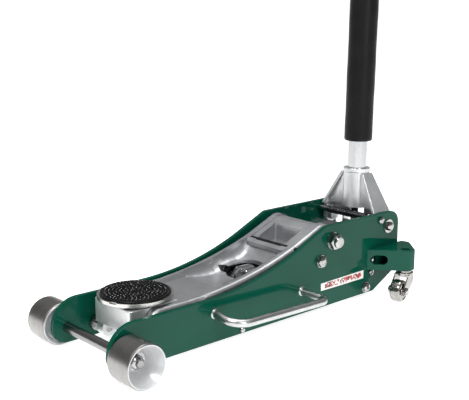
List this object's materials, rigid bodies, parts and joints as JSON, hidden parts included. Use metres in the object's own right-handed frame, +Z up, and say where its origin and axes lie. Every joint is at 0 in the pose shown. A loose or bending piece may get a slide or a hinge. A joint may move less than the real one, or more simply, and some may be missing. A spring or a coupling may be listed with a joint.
{
  "type": "trolley jack",
  "caption": "Low-profile trolley jack with a lifting arm that keeps its round padded saddle level, a hydraulic unit, a pump handle in a yoke, front rollers and swivel casters.",
  "frame": {"origin": "on the ground, under the middle of the overall length, on the jack's middle plane", "axes": "+X forward to the saddle end, +Y to the jack's left, +Z up"},
  "size_m": [0.6379, 0.284, 1.0801],
  "materials": {
    "green_paint": "gloss clear coat over dark green",
    "cast_aluminium": "satin cast, brushed on edges",
    "tube_aluminium": "satin drawn tube",
    "wheel_steel": "turned",
    "steel": "ground",
    "bar_steel": "satin plated",
    "saddle_steel": "zinc plated, worn",
    "dark_steel": "blackened",
    "zinc": "bright zinc plated",
    "chrome": "hard chrome",
    "caster_chrome": "polished plated steel",
    "block_cast": "rough cast",
    "rubber": "matte moulded",
    "foam": "matte closed-cell foam",
    "label": "printed film"
  },
  "bodies": {
    "chassis": {"side_plate_left": "green_paint", "side_plate_right": "green_paint", "front_axle": "steel", "axle_nuts": "zinc", "axle_washers": "zinc", "arm_pivot_shaft": "zinc", "arm_pivot_nuts": "zinc", "arm_pivot_washers": "zinc", "arm_pivot_spacers": "steel", "link_anchor_bolts": "zinc", "yoke_pivot_bolts": "zinc", "yoke_pivot_washers": "zinc", "yoke_stop_bar": "zinc", "yoke_return_spring": "dark_steel", "chassis_bolts": "zinc", "front_tie_rod": "zinc", "side_handle_left": "bar_steel", "side_handle_right": "bar_steel", "side_labels": "label", "caster_bracket_left": "green_paint", "caster_bracket_right": "green_paint", "pump_block": "block_cast", "reservoir_tube": "dark_steel", "ram_cylinder": "steel", "gland_nut": "dark_steel", "oil_filler_plug": "rubber", "pump_springs": "dark_steel"},
    "wheel_left": {"front_wheel_left": "wheel_steel"},
    "wheel_right": {"front_wheel_right": "wheel_steel"},
    "arm": {"lift_arm": "cast_aluminium", "arm_cross_rod": "dark_steel", "lug_pins": "steel", "saddle_pivot_pins": "zinc"},
    "bracket": {"saddle_bracket": "cast_aluminium", "link_front_pins": "zinc"},
    "saddle": {"saddle_cup": "saddle_steel", "saddle_pad": "rubber", "saddle_clip": "dark_steel"},
    "links": {"link_rods": "zinc"},
    "ram": {"ram_rod": "chrome", "crosshead": "chrome", "crosshead_pin": "steel"},
    "drag": {"drag_links": "dark_steel"},
    "yoke_body": {"yoke": "cast_aluminium", "roller_pins": "steel"},
    "rollers": {"pump_rollers": "steel"},
    "plungers": {"pump_plungers": "chrome"},
    "handle": {"handle_lower_tube": "tube_aluminium", "handle_upper_tube": "tube_aluminium", "foam_sleeve": "foam", "hand_grip": "rubber", "release_coupler": "dark_steel"},
    "valve": {"release_valve": "zinc"},
    "caster_left": {"caster_fork_left": "caster_chrome", "caster_axle_left": "zinc"},
    "caster_right": {"caster_fork_right": "caster_chrome", "caster_axle_right": "zinc"},
    "caster_roll_left": {"caster_wheel_left": "caster_chrome"},
    "caster_roll_right": {"caster_wheel_right": "caster_chrome"}
  },
  "joints": [
    {"name": "arm_lift", "type": "hinge", "parent": "chassis", "child": "arm", "pos_m": [-0.131, 0, 0.12], "axis": [0, -1, 0], "range_deg": [0, 45]},
    {"name": "saddle_level", "type": "hinge", "parent": "arm", "child": "bracket", "pos_m": [0.21, 0, 0.0595], "axis": [0, -1, 0], "range_deg": [-45, 0]},
    {"name": "saddle_swivel", "type": "hinge", "parent": "bracket", "child": "saddle", "pos_m": [0.2115, 0, 0.08], "axis": [0, 0, 1], "continuous": true},
    {"name": "link_swing", "type": "hinge", "parent": "chassis", "child": "links", "pos_m": [-0.103, 0, 0.09], "axis": [0, -1, 0], "range_deg": [0, 45]},
    {"name": "ram_slide", "type": "slide", "parent": "chassis", "child": "ram", "axis": [1, 0, 0], "range_m": [0, 0.0444]},
    {"name": "drag_level", "type": "hinge", "parent": "arm", "child": "drag", "pos_m": [-0.1532, 0, 0.06642], "axis": [0, -1, 0], "range_deg": [-45, 0]},
    {"name": "handle_pump", "type": "hinge", "parent": "chassis", "child": "yoke_body", "pos_m": [-0.2755, 0, 0.121], "axis": [0, -1, 0], "range_deg": [0, 75]},
    {"name": "plunger_slide", "type": "slide", "parent": "chassis", "child": "plungers", "axis": [1, 0, 0], "range_m": [0, 0.02436], "deforming": ["pump_springs"]},
    {"name": "roller_spin", "type": "hinge", "parent": "yoke_body", "child": "rollers", "pos_m": [-0.2873, 0, 0.10485], "axis": [0, 1, 0], "continuous": true},
    {"name": "handle_twist", "type": "hinge", "parent": "yoke_body", "child": "handle", "pos_m": [-0.2755, 0, 0.121], "axis": [-0.0237, 0, 0.9997], "range_deg": [0, 90]},
    {"name": "valve_turn", "type": "hinge", "parent": "chassis", "child": "valve", "pos_m": [-0.2755, 0, 0.08], "axis": [0, 0, 1], "range_deg": [0, 90]},
    {"name": "wheel_left_spin", "type": "hinge", "parent": "chassis", "child": "wheel_left", "pos_m": [0.287, 0.107, 0.0325], "axis": [0, 1, 0], "continuous": true},
    {"name": "wheel_right_spin", "type": "hinge", "parent": "chassis", "child": "wheel_right", "pos_m": [0.287, -0.107, 0.0325], "axis": [0, 1, 0], "continuous": true},
    {"name": "caster_left_swivel", "type": "hinge", "parent": "chassis", "child": "caster_left", "pos_m": [-0.2735, 0.119, 0.047], "axis": [0, 0, 1], "continuous": true},
    {"name": "caster_left_roll", "type": "hinge", "parent": "caster_left", "child": "caster_roll_left", "pos_m": [-0.25247, 0.12347, 0.019], "axis": [-0.2079, 0.9781, 0], "continuous": true},
    {"name": "caster_right_swivel", "type": "hinge", "parent": "chassis", "child": "caster_right", "pos_m": [-0.2735, -0.119, 0.047], "axis": [0, 0, 1], "continuous": true},
    {"name": "caster_right_roll", "type": "hinge", "parent": "caster_right", "child": "caster_roll_right", "pos_m": [-0.25247, -0.12347, 0.019], "axis": [-0.2079, -0.9781, 0], "continuous": true}
  ],
  "couplings": [
    {"joint": "saddle_level", "follows": "arm_lift", "ratio": -1},
    {"joint": "link_swing", "follows": "arm_lift", "ratio": 1},
    {"joint": "ram_slide", "follows": "arm_lift", "m_per_rad": 0.056521},
    {"joint": "drag_level", "follows": "arm_lift", "ratio": -1},
    {"joint": "plunger_slide", "follows": "handle_pump", "m_per_rad": 0.018602},
    {"joint": "valve_turn", "follows": "handle_twist", "ratio": 1}
  ]
}
